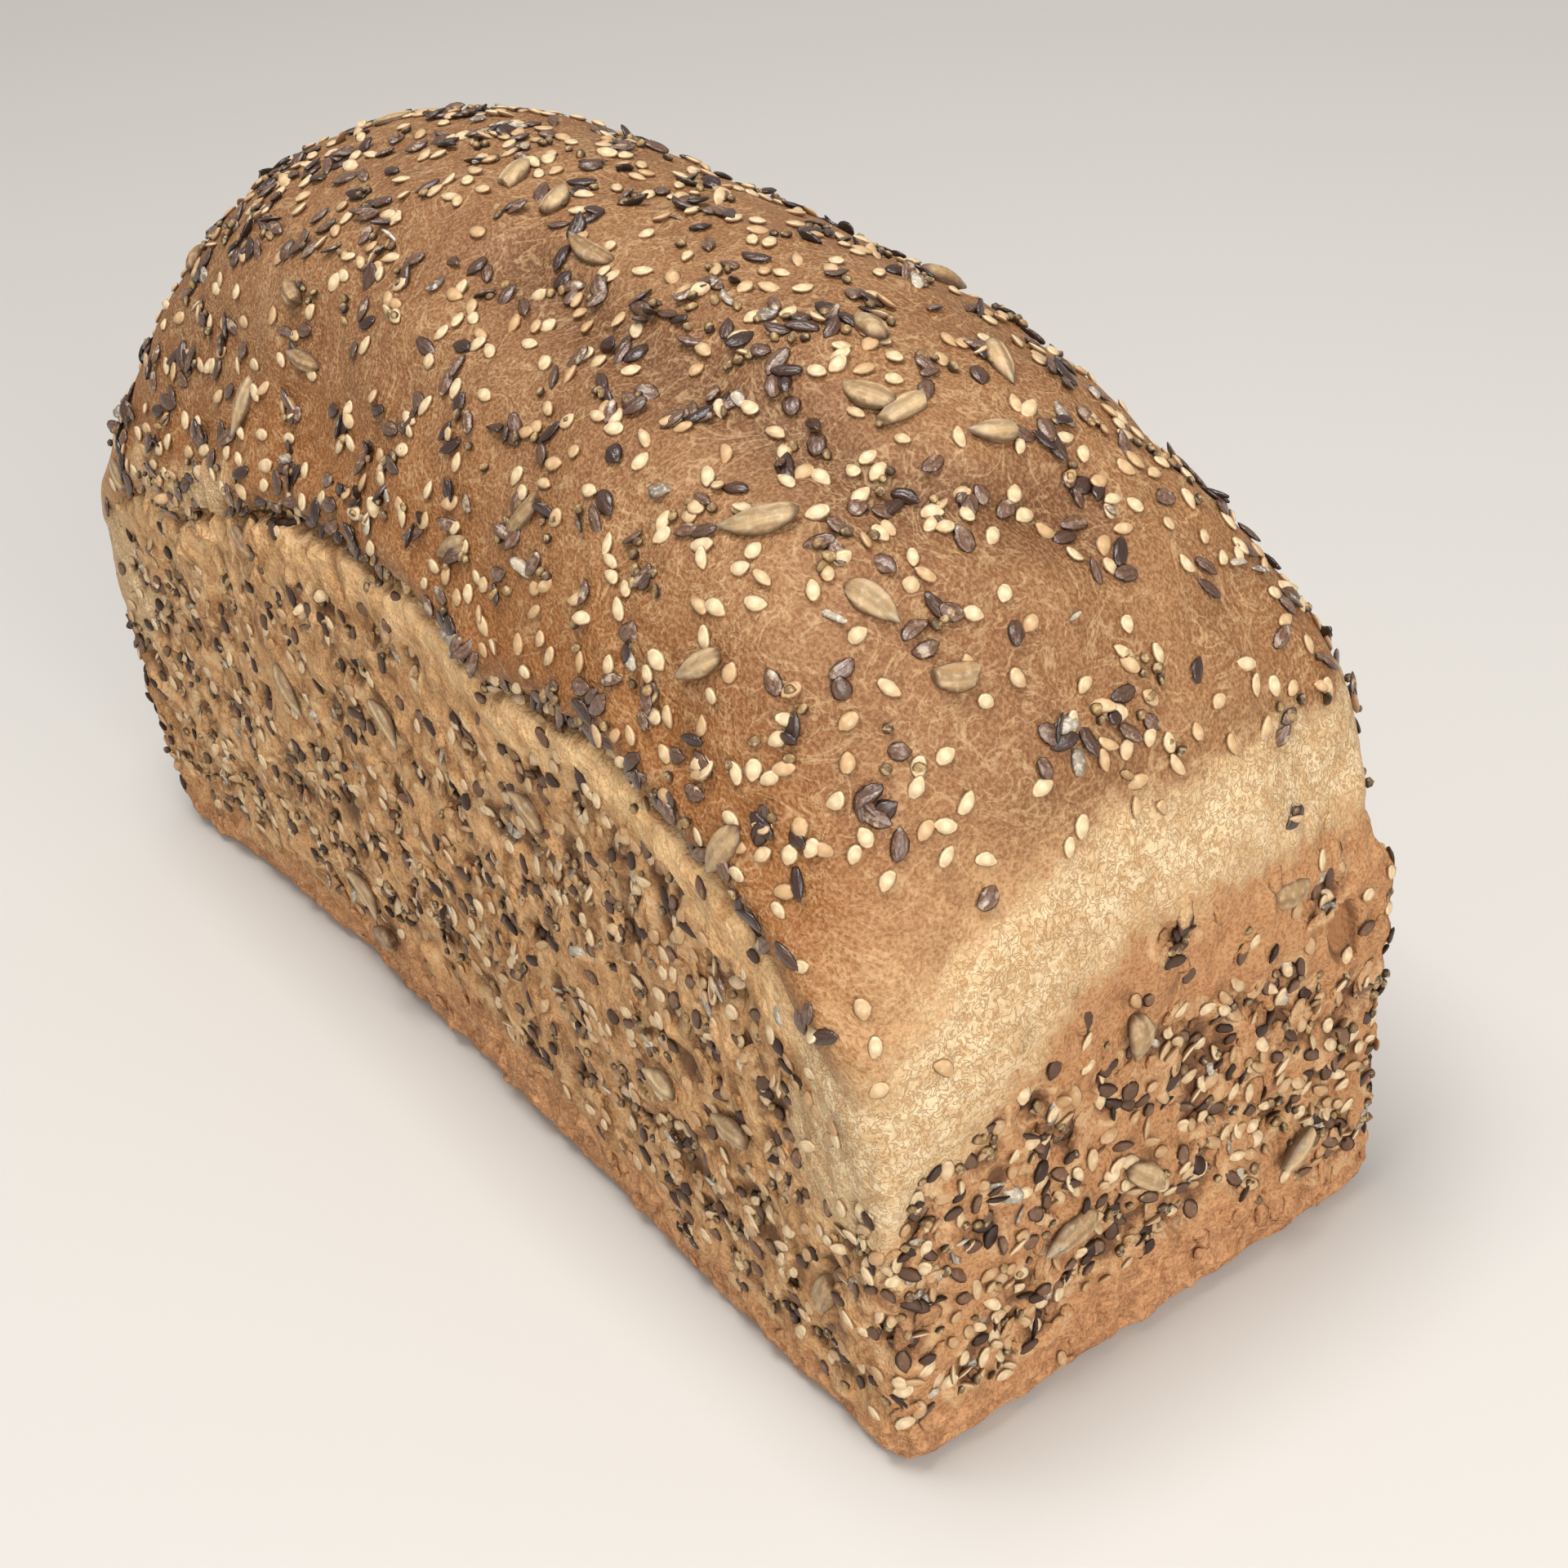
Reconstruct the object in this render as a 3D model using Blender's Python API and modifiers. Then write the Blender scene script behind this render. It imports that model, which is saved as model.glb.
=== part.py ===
"""A multigrain tin loaf: one solid crust with its sunflower kernels, linseed and sesame fused on.

The loaf lies along X on its flat base, with its origin under the middle. Sizes are in metres.
"""
import math
import random

import bpy
from mathutils import Matrix, Vector

# Driving sizes of the loaf
LENGTH = 0.252
WIDTH = 0.105
CORNER_HEIGHT = 0.071
SIDE_LIFT = 0.042
END_LIFT = 0.017
CROWN = 0.026

# How the tin and the oven shape it
END_FALL = 10
SIDE_FALL = 2.7
CROWN_ROUNDNESS = 0.6
SUPPORT = 0.009
BASE_SUPPORT = 0.006
LENGTH_CELLS = 12
WIDTH_CELLS = 4
WALL_CELLS = 4
BASE_SHARE = (0.975, 0.96)

# Where the dough folded, sagged or pushed out: a place, how far it moves and how wide that reaches
FOLDS = [
    # the long furrow beside the crown, which turns across it near the front
    ((0.000, -0.018, 0.152), (0, 0.0002, -0.0016), 0.022),
    ((0.022, -0.020, 0.151), (0, 0.0004, -0.0024), 0.021),
    ((0.045, -0.020, 0.150), (0, 0.0005, -0.0030), 0.021),
    ((0.068, -0.018, 0.146), (0, 0.0005, -0.0032), 0.020),
    ((0.090, -0.009, 0.138), (-0.0006, 0, -0.0034), 0.020),
    ((0.098, 0.010, 0.135), (-0.0008, 0, -0.0030), 0.020),
    # the swellings and the flat on each side of it
    ((0.090, -0.034, 0.126), (0.0010, -0.0014, 0.0014), 0.030),
    ((0.064, 0.024, 0.147), (0, 0, -0.0024), 0.032),
    ((-0.060, -0.008, 0.152), (0, 0, -0.0008), 0.030),
    ((0.107, 0.044, 0.100), (0.0020, 0.0030, 0.0012), 0.026),
    # the front's far shoulder, which drops inside its rim
    ((0.121, 0.048, 0.086), (-0.0030, -0.0042, -0.0010), 0.020),
    # the sag above the torn rim of the long side, and the tear's own swelling
    ((-0.064, -0.047, 0.116), (0, 0.0036, -0.0020), 0.024),
    ((-0.040, -0.048, 0.118), (0, 0.0046, -0.0026), 0.024),
    ((-0.016, -0.049, 0.118), (0, 0.0034, -0.0022), 0.022),
    ((-0.040, -0.052, 0.088), (0, -0.0016, 0), 0.030),
    # the far corner's foot, a hollow in the far side, and the long foot's inward bow with a nick
    ((-0.118, -0.048, 0.030), (-0.0010, -0.0010, 0), 0.040),
    ((0.030, 0.050, 0.112), (0, -0.0030, -0.0010), 0.026),
    ((-0.090, -0.050, 0.000), (0, 0.0014, 0), 0.030),
    ((-0.055, -0.050, 0.000), (0, 0.0028, 0), 0.045),
    ((-0.005, -0.050, 0.000), (0, 0.0030, 0), 0.045),
    ((0.040, -0.050, 0.000), (0, 0.0018, 0), 0.040),
    ((-0.048, -0.051, 0.006), (0, 0.0014, 0), 0.014),
]
UNEVEN = 0.0009
UNEVEN_SEED = 4

# The oval hollow that a fallen kernel left in the near end
PIT_PLACE = (0.1265, 0.040, 0.058)
PIT_SIZE = (0.0030, 0.0034, 0.0056)

# Seeds: half length, half width and half thickness, how deep they sit, and the room round each
KERNEL = ((0.0052, 0.0024, 0.0017), 0.35, 0.015)
LINSEED = ((0.0026, 0.0014, 0.0009), 0.25, 0.0085)
SESAME = ((0.0019, 0.0013, 0.0008), 0.2, 0.0085)
KERNELS_SEEN = [
    (0.107, -0.020, 0.122, 10),
    (0.081, -0.043, 0.123, 60),
    (0.078, -0.030, 0.138, 60),
    (0.038, -0.044, 0.129, 75),
    (0.022, -0.048, 0.120, 50),
    (-0.036, -0.043, 0.130, 20),
    (-0.043, -0.037, 0.138, 0),
    (0.062, 0.003, 0.152, 60),
    (0.073, -0.007, 0.149, 20),
    (0.078, -0.003, 0.147, 75),
    (0.087, 0.007, 0.143, -10),
    (0.074, 0.018, 0.146, -15),
    (-0.020, -0.005, 0.155, 0),
    (-0.005, -0.006, 0.155, -10),
    (0.010, -0.012, 0.154, 30),
    (0.126, 0.026, 0.072, 80),
    (0.124, -0.018, 0.034, 20),
    (0.094, -0.050, 0.102, 80),
]
KERNEL_COUNT = 52
LINSEED_COUNT = 110
SESAME_COUNT = 80
SEED_SEGMENTS = 6
SEED_RINGS = 4
SEED_SEED = 11
TRIES = 4000
BARE_FOOT = 0.020
SMOOTH_UNDER = 35


def clear_scene():
    for old in list(bpy.data.objects):
        bpy.data.objects.remove(old)


def crust_height(x, y):
    """Height of the dome, or of the wall's top edge, above the base at a place in plan."""
    along = min(1, abs(2 * x / LENGTH))
    across = min(1, abs(2 * y / WIDTH))
    walls = CORNER_HEIGHT + SIDE_LIFT * (1 - along**4) + END_LIFT * (1 - across**3)
    crown = CROWN * (1 - along**END_FALL) * (1 - across**SIDE_FALL) ** CROWN_ROUNDNESS
    return walls + crown


def even_cuts(reach, cells):
    """Evenly spaced places from -reach to reach."""
    return [reach * (2 * step / cells - 1) for step in range(cells + 1)]


def block_cage():
    """The block of dough that fills the tin, cut into a cage of quads."""
    bpy.ops.mesh.primitive_cube_add(
        size=1, location=(0, 0, CORNER_HEIGHT / 2), scale=(LENGTH, WIDTH, CORNER_HEIGHT)
    )
    block = bpy.context.object
    bpy.ops.object.transform_apply(location=True, scale=True)
    bpy.ops.object.mode_set(mode="EDIT")
    bpy.ops.mesh.select_mode(type="VERT")
    wall = CORNER_HEIGHT - BASE_SUPPORT
    cuts = [((x, 0, 0), (1, 0, 0)) for x in even_cuts(LENGTH / 2 - SUPPORT, LENGTH_CELLS)]
    cuts += [((0, y, 0), (0, 1, 0)) for y in even_cuts(WIDTH / 2 - SUPPORT, WIDTH_CELLS)]
    cuts += [((0, 0, BASE_SUPPORT + wall * level / WALL_CELLS), (0, 0, 1)) for level in range(WALL_CELLS)]
    for place, normal in cuts:
        bpy.ops.mesh.select_all(action="SELECT")
        bpy.ops.mesh.bisect(plane_co=place, plane_no=normal)
    bpy.ops.object.mode_set(mode="OBJECT")
    return block


def select_where(block, chosen):
    """Selects the vertices whose place passes the test, ready for an edit mode operator."""
    bpy.ops.object.mode_set(mode="EDIT")
    bpy.ops.mesh.select_all(action="DESELECT")
    bpy.ops.object.mode_set(mode="OBJECT")
    for vertex in block.data.vertices:
        vertex.select = chosen(vertex.co)
    bpy.ops.object.mode_set(mode="EDIT")


def raise_dome(block):
    """Stretches each column of the cage from the base up to the crust's height there."""
    near = SUPPORT / 4
    columns = sorted({(round(v.co.x, 5), round(v.co.y, 5)) for v in block.data.vertices})
    for x, y in columns:
        select_where(block, lambda co: abs(co.x - x) < near and abs(co.y - y) < near)
        stretch = crust_height(x, y) / CORNER_HEIGHT
        bpy.ops.transform.resize(value=(1, 1, stretch), center_override=(0, 0, 0))
        bpy.ops.object.mode_set(mode="OBJECT")


def narrow_foot(block):
    """Draws the foot in, since a loaf tin narrows towards its base."""
    select_where(block, lambda co: co.z < BASE_SUPPORT / 2)
    bpy.ops.transform.resize(
        value=(*BASE_SHARE, 1),
        center_override=(0, 0, 0),
        use_proportional_edit=True,
        proportional_edit_falloff="LINEAR",
        proportional_size=CORNER_HEIGHT,
    )
    bpy.ops.object.mode_set(mode="OBJECT")


def refine(block, levels):
    """Subdivides the cage smoothly."""
    smooth = block.modifiers.new("smooth", "SUBSURF")
    smooth.levels = smooth.render_levels = levels
    bpy.ops.object.modifier_apply(modifier=smooth.name)


def fold(block, place, move, reach):
    """Moves the crust at a place, and less and less of it out to the reach."""
    nearest = min(block.data.vertices, key=lambda v: (v.co - Vector(place)).length).co.copy()
    select_where(block, lambda co: (co - nearest).length < SUPPORT / 10)
    bpy.ops.transform.translate(
        value=move,
        use_proportional_edit=True,
        proportional_edit_falloff="SMOOTH",
        proportional_size=reach,
    )
    bpy.ops.object.mode_set(mode="OBJECT")


def roughen(block):
    """Makes the crust slightly uneven, all but the base."""
    select_where(block, lambda co: co.z > BASE_SUPPORT)
    bpy.ops.transform.vertex_random(offset=UNEVEN, uniform=0, normal=1, seed=UNEVEN_SEED)
    bpy.ops.object.mode_set(mode="OBJECT")


def hollow_pit(block):
    """Cuts the hollow that a fallen kernel left."""
    bpy.ops.mesh.primitive_uv_sphere_add(
        segments=10, ring_count=6, radius=1, location=PIT_PLACE, scale=PIT_SIZE
    )
    cutter = bpy.context.object
    bpy.context.view_layer.objects.active = block
    cut = block.modifiers.new("pit", "BOOLEAN")
    cut.operation = "DIFFERENCE"
    cut.solver = "EXACT"
    cut.object = cutter
    bpy.ops.object.modifier_apply(modifier=cut.name)
    bpy.data.objects.remove(cutter)


def lie_on(normal, turn):
    """The rotation that lays a seed flat on the crust, turned by an angle about its normal."""
    upright = normal.to_track_quat("Z", "Y").to_matrix()
    return (upright @ Matrix.Rotation(turn, 3, "Z")).to_euler()


def add_seed(collection, kind, place, normal, turn):
    """One seed, sunk into the crust by its share of thickness."""
    size, sink, _ = kind
    bpy.ops.mesh.primitive_uv_sphere_add(
        segments=SEED_SEGMENTS,
        ring_count=SEED_RINGS,
        radius=1,
        location=place - normal * size[2] * sink,
        rotation=lie_on(normal, turn),
        scale=size,
    )
    seed = bpy.context.object
    for holder in list(seed.users_collection):
        holder.objects.unlink(seed)
    collection.objects.link(seed)


def throw_seed(block, faces, areas, taken, room, rng):
    """A place on the crust, away from every seed already there, with the crust's normal."""
    for _ in range(TRIES):
        face = rng.choices(faces, cum_weights=areas)[0]
        corners = [block.data.vertices[index].co for index in face.vertices]
        weights = [rng.random() for _ in corners]
        place = sum((c * w for c, w in zip(corners, weights)), Vector()) / sum(weights)
        if place.z > BARE_FOOT and all((place - other).length > room for other in taken):
            taken.append(place)
            return place, face.normal.copy()
    return None


def scatter_seeds(block, collection):
    """Lays the kernels that show first, then the rest, the largest kind first."""
    rng = random.Random(SEED_SEED)
    taken = [Vector(PIT_PLACE)]
    for x, y, z, degrees in KERNELS_SEEN:
        _, place, normal, _ = block.closest_point_on_mesh((x, y, z))
        add_seed(collection, KERNEL, place, normal, math.radians(degrees))
        taken.append(place)
    faces = list(block.data.polygons)
    areas = []
    total = 0
    for face in faces:
        total += face.area
        areas.append(total)
    counts = [(KERNEL, KERNEL_COUNT - len(KERNELS_SEEN)), (LINSEED, LINSEED_COUNT), (SESAME, SESAME_COUNT)]
    for kind, count in counts:
        for _ in range(count):
            thrown = throw_seed(block, faces, areas, taken, kind[2], rng)
            if thrown:
                add_seed(collection, kind, *thrown, rng.uniform(0, math.pi))


def fuse(block, collection):
    """Joins the seeds to the crust in one solid."""
    bpy.context.view_layer.objects.active = block
    joined = block.modifiers.new("seeds", "BOOLEAN")
    joined.operation = "UNION"
    joined.solver = "EXACT"
    joined.operand_type = "COLLECTION"
    joined.collection = collection
    bpy.ops.object.modifier_apply(modifier=joined.name)
    for seed in list(collection.objects):
        bpy.data.objects.remove(seed)


def crust_material():
    material = bpy.data.materials.new("baked_crust")
    material.use_nodes = True
    surface = material.node_tree.nodes["Principled BSDF"]
    surface.inputs["Base Color"].default_value = (0.36, 0.19, 0.085, 1)
    surface.inputs["Roughness"].default_value = 0.85
    surface.inputs["Metallic"].default_value = 0
    return material


def main():
    clear_scene()
    block = block_cage()
    block.name = "loaf"
    raise_dome(block)
    narrow_foot(block)
    refine(block, 1)
    roughen(block)
    for place, move, reach in FOLDS:
        fold(block, place, move, reach)
    seeds = bpy.data.collections.new("seeds")
    bpy.context.scene.collection.children.link(seeds)
    scatter_seeds(block, seeds)
    hollow_pit(block)
    fuse(block, seeds)
    block.data.materials.clear()
    block.data.materials.append(crust_material())
    bpy.ops.object.select_all(action="DESELECT")
    block.select_set(True)
    bpy.ops.object.shade_smooth_by_angle(angle=math.radians(SMOOTH_UNDER))


main()
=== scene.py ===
"""A multigrain tin loaf, dressed: its baked crust and every seed that lies on it or was pressed into it."""

import math

import bpy
import numpy as np
from mathutils import Matrix, Vector, noise
from mathutils.kdtree import KDTree


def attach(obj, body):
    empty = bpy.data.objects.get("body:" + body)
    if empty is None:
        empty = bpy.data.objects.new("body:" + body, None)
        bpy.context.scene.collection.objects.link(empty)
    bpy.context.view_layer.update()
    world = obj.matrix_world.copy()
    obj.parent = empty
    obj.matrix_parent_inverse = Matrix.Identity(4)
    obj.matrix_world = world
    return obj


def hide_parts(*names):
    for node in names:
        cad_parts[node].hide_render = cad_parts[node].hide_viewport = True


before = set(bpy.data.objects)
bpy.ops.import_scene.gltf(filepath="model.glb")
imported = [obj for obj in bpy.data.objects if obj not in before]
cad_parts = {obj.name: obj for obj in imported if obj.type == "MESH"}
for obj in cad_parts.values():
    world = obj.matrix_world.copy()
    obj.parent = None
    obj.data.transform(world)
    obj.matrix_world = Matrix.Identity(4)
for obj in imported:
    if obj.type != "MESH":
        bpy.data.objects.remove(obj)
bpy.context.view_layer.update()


# The crust: dough baked in a loaf tin, which gave it its straight walls and its foot. Above the
# rim it rose freely into a long dome with a furrow in it, and it tore along one side.
LENGTH = 0.252
WIDTH = 0.105
CORNER_HEIGHT = 0.071
SIDE_LIFT = 0.042
END_LIFT = 0.017
CROWN = 0.026
END_FALL = 10
SIDE_FALL = 2.7
CROWN_ROUNDNESS = 0.6
SUPPORT = 0.009
BASE_SUPPORT = 0.006
LENGTH_CELLS = 12
WIDTH_CELLS = 4
WALL_CELLS = 4
BASE_SHARE = (0.975, 0.96)
UNEVEN = 0.0009
UNEVEN_SEED = 4
FOLDS = [
    # the long furrow beside the crown, which turns across it near the front
    ((0.000, -0.018, 0.152), (0, 0.0002, -0.0016), 0.022),
    ((0.022, -0.020, 0.151), (0, 0.0004, -0.0024), 0.021),
    ((0.045, -0.020, 0.150), (0, 0.0005, -0.0030), 0.021),
    ((0.068, -0.018, 0.146), (0, 0.0005, -0.0032), 0.020),
    ((0.090, -0.009, 0.138), (-0.0006, 0, -0.0034), 0.020),
    ((0.098, 0.010, 0.135), (-0.0008, 0, -0.0030), 0.020),
    # the swellings and the flat on each side of it
    ((0.090, -0.034, 0.126), (0.0010, -0.0014, 0.0014), 0.030),
    ((0.064, 0.024, 0.147), (0, 0, -0.0024), 0.032),
    ((-0.060, -0.008, 0.152), (0, 0, -0.0008), 0.030),
    ((0.107, 0.044, 0.100), (0.0020, 0.0030, 0.0012), 0.026),
    # the front's far shoulder, which drops inside its rim
    ((0.121, 0.048, 0.086), (-0.0030, -0.0042, -0.0010), 0.020),
    # the sag above the torn rim of the long side, and the tear's own swelling
    ((-0.064, -0.047, 0.116), (0, 0.0036, -0.0020), 0.024),
    ((-0.040, -0.048, 0.118), (0, 0.0046, -0.0026), 0.024),
    ((-0.016, -0.049, 0.118), (0, 0.0034, -0.0022), 0.022),
    ((-0.040, -0.052, 0.088), (0, -0.0016, 0), 0.030),
    # the far corner's foot, a hollow in the far side, and the long foot's inward bow with a nick
    ((-0.118, -0.048, 0.030), (-0.0010, -0.0010, 0), 0.040),
    ((0.030, 0.050, 0.112), (0, -0.0030, -0.0010), 0.026),
    ((-0.090, -0.050, 0.000), (0, 0.0014, 0), 0.030),
    ((-0.055, -0.050, 0.000), (0, 0.0028, 0), 0.045),
    ((-0.005, -0.050, 0.000), (0, 0.0030, 0), 0.045),
    ((0.040, -0.050, 0.000), (0, 0.0018, 0), 0.040),
    ((-0.048, -0.051, 0.006), (0, 0.0014, 0), 0.014),
]
# where a kernel fell out of the near end, half the pit's width and height, and the room it keeps
PIT_PLACE = np.array((0.1265, 0.0384, 0.0590))
PIT_HALF = (0.0033, 0.0057)
PIT_ROOM = 0.0060


def crust_height(x, y):
    """Height of the dome, or of the wall's top edge, above the base at a place in plan."""
    along = min(1, abs(2 * x / LENGTH))
    across = min(1, abs(2 * y / WIDTH))
    walls = CORNER_HEIGHT + SIDE_LIFT * (1 - along**4) + END_LIFT * (1 - across**3)
    crown = CROWN * (1 - along**END_FALL) * (1 - across**SIDE_FALL) ** CROWN_ROUNDNESS
    return walls + crown


def even_cuts(reach, cells):
    """Evenly spaced places from -reach to reach."""
    return [reach * (2 * step / cells - 1) for step in range(cells + 1)]


def select_where(piece, chosen):
    """Selects the vertices whose place passes the test, ready for an edit mode operator."""
    bpy.ops.object.mode_set(mode="EDIT")
    bpy.ops.mesh.select_all(action="DESELECT")
    bpy.ops.object.mode_set(mode="OBJECT")
    for vertex in piece.data.vertices:
        vertex.select = chosen(vertex.co)
    bpy.ops.object.mode_set(mode="EDIT")


def refine(piece, levels):
    """Subdivides a piece smoothly."""
    smooth = piece.modifiers.new("smooth", "SUBSURF")
    smooth.levels = smooth.render_levels = levels
    bpy.ops.object.modifier_apply(modifier=smooth.name)


def fold(piece, place, move, reach):
    """Moves the crust at a place, and less and less of it out to the reach."""
    nearest = min(piece.data.vertices, key=lambda v: (v.co - Vector(place)).length).co.copy()
    select_where(piece, lambda co: (co - nearest).length < SUPPORT / 100)
    bpy.ops.transform.translate(
        value=move,
        use_proportional_edit=True,
        proportional_edit_falloff="SMOOTH",
        proportional_size=reach,
    )
    bpy.ops.object.mode_set(mode="OBJECT")


bpy.ops.object.select_all(action="DESELECT")
bpy.ops.mesh.primitive_cube_add(
    size=1, location=(0, 0, CORNER_HEIGHT / 2), scale=(LENGTH, WIDTH, CORNER_HEIGHT)
)
crust = bpy.context.object
crust.name = "crust"
bpy.ops.object.transform_apply(location=True, scale=True)
bpy.ops.object.mode_set(mode="EDIT")
bpy.ops.mesh.select_mode(type="VERT")
wall_height = CORNER_HEIGHT - BASE_SUPPORT
cuts = [((x, 0, 0), (1, 0, 0)) for x in even_cuts(LENGTH / 2 - SUPPORT, LENGTH_CELLS)]
cuts += [((0, y, 0), (0, 1, 0)) for y in even_cuts(WIDTH / 2 - SUPPORT, WIDTH_CELLS)]
cuts += [((0, 0, BASE_SUPPORT + wall_height * n / WALL_CELLS), (0, 0, 1)) for n in range(WALL_CELLS)]
for cut_place, cut_normal in cuts:
    bpy.ops.mesh.select_all(action="SELECT")
    bpy.ops.mesh.bisect(plane_co=cut_place, plane_no=cut_normal)
bpy.ops.object.mode_set(mode="OBJECT")

# each column of the cage is stretched up to the dome, and the foot is drawn in as the tin's was
near = SUPPORT / 4
for x, y in sorted({(round(v.co.x, 5), round(v.co.y, 5)) for v in crust.data.vertices}):
    select_where(crust, lambda co: abs(co.x - x) < near and abs(co.y - y) < near)
    stretch = crust_height(x, y) / CORNER_HEIGHT
    bpy.ops.transform.resize(value=(1, 1, stretch), center_override=(0, 0, 0))
    bpy.ops.object.mode_set(mode="OBJECT")
select_where(crust, lambda co: co.z < BASE_SUPPORT / 2)
bpy.ops.transform.resize(
    value=(*BASE_SHARE, 1),
    center_override=(0, 0, 0),
    use_proportional_edit=True,
    proportional_edit_falloff="LINEAR",
    proportional_size=CORNER_HEIGHT,
)
bpy.ops.object.mode_set(mode="OBJECT")
refine(crust, 1)
select_where(crust, lambda co: co.z > BASE_SUPPORT)
bpy.ops.transform.vertex_random(offset=UNEVEN, uniform=0, normal=1, seed=UNEVEN_SEED)
bpy.ops.object.mode_set(mode="OBJECT")
for place, move, reach in FOLDS:
    fold(crust, place, move, reach)
refine(crust, 3)


def numbers(items, name, width=3):
    """One property of all the items, as an array."""
    found = np.zeros(len(items) * width)
    items.foreach_get(name, found)
    return found.reshape(-1, width) if width > 1 else found


def step(value, low, high):
    """Rises smoothly from 0 at low to 1 at high."""
    share = np.clip((value - low) / (high - low), 0, 1)
    return share * share * (3 - 2 * share)


def hill(value, centre, spread):
    """One at the centre, falling away evenly over the spread."""
    return np.exp(-(((value - centre) / spread) ** 2))


def patches(places, size, seed):
    """Soft random patches of a size, from 0 to 1, at many places."""
    shift = Vector((seed * 7.3, seed * 3.1, seed * 5.7))
    return np.array([0.5 + 0.5 * noise.noise(Vector(p) / size + shift) for p in places])


# The rim of the tin shows as a crease along each long side, and on each end as a pale band that
# the dough made as it stretched late. Heights here are above the base.
CREASE_DROP = 0.0062
CREASE_DIP = 0.0042
DIP_PLACE = 0.036
DIP_SPREAD = 0.017
TEAR_PLACE = -0.075
TEAR_SPREAD = 0.030
TEAR_DROP = 0.012
END_BAND = 0.0925
END_BAND_FALL = (0.022, 0.004)
END_BAND_REACH = 0.042
END_BAND_HALF = 0.0088
BARE_FOOT = 0.0100
SIDE_FOOT_RISE = 0.010
END_FOOT_RISE = 0.009
# from where to where along the loaf an end begins, its slope, and the corners that have no crease
END_WALL = (0.114, 0.123)
END_SLOPE = (0.088, 0.116)
PLAIN_CORNER = (0.096, 0.112)
# how far from the crease, or from the band's middle, each change of the dough comes
RIM_SOFTNESS = 0.0008
BAND_FOOT = (-0.018, -0.002)
LIP_FOOT = (-0.014, -0.006)
LIP_EDGE = (-0.0016, 0.0004)
STRETCHED_EDGE = (0.006, 0.015)


def wandering(values, period, seed):
    """A smooth random wave along one direction, from -1 to 1."""
    return np.array([noise.noise(Vector((value / period, 0, seed))) for value in values])


def crease_gap(p):
    """How far a place is above the crease of the long side that it is on, and how torn it is."""
    along = np.clip(np.abs(2 * p[:, 0] / LENGTH), 0, 1)
    crease = CORNER_HEIGHT + SIDE_LIFT * (1 - along**4) - CREASE_DROP
    crease = crease - CREASE_DIP * hill(p[:, 0], DIP_PLACE, DIP_SPREAD)
    torn = hill(p[:, 0], TEAR_PLACE, TEAR_SPREAD) * (p[:, 1] < 0)
    wander = 0.0022 * wandering(p[:, 0], 0.018, 3) + 0.0014 * wandering(p[:, 0], 0.006, 5)
    ragged = wandering(p[:, 0], 0.0048, 9)
    return p[:, 2] - crease + TEAR_DROP * torn - wander - 0.0060 * torn * ragged, torn


def band_gap(p):
    """How far a place is above the middle of the pale band of the end that it is on."""
    fall = np.where(p[:, 1] < 0, *END_BAND_FALL)
    wander = 0.004 * wandering(p[:, 1], 0.012, 7)
    return p[:, 2] - END_BAND + fall * (np.abs(p[:, 1]) / END_BAND_REACH) ** 1.6 - wander


FURROW = np.array([
    (0.000, -0.018),
    (0.030, -0.021),
    (0.059, -0.019),
    (0.084, -0.015),
    (0.094, 0.000),
    (0.097, 0.010),
])
FURROW_HALF = 0.0064


def furrow_depth(p):
    """How deep in the furrow beside the crown a place lies, from 0 to 1."""
    nearest = np.full(len(p), 1.0)
    for start, end in zip(FURROW[:-1], FURROW[1:]):
        leg = end - start
        share = np.clip(((p[:, :2] - start) @ leg) / (leg @ leg), 0, 1)
        nearest = np.minimum(nearest, np.linalg.norm(p[:, :2] - start - share[:, None] * leg, axis=1))
    return hill(nearest, 0, FURROW_HALF) * step(p[:, 2], 0.11, 0.125)


def foot_gap(p, at_end):
    """How far a place is above the upper edge of the bare strip at the foot."""
    side = BARE_FOOT + SIDE_FOOT_RISE * hill(p[:, 0], 0, 0.055)
    end = BARE_FOOT + END_FOOT_RISE * hill(p[:, 1], 0.006, 0.026)
    wander = 0.005 * wandering(p[:, 0] + p[:, 1], 0.011, 13)
    return p[:, 2] - side * (1 - at_end) - end * at_end - wander


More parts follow.
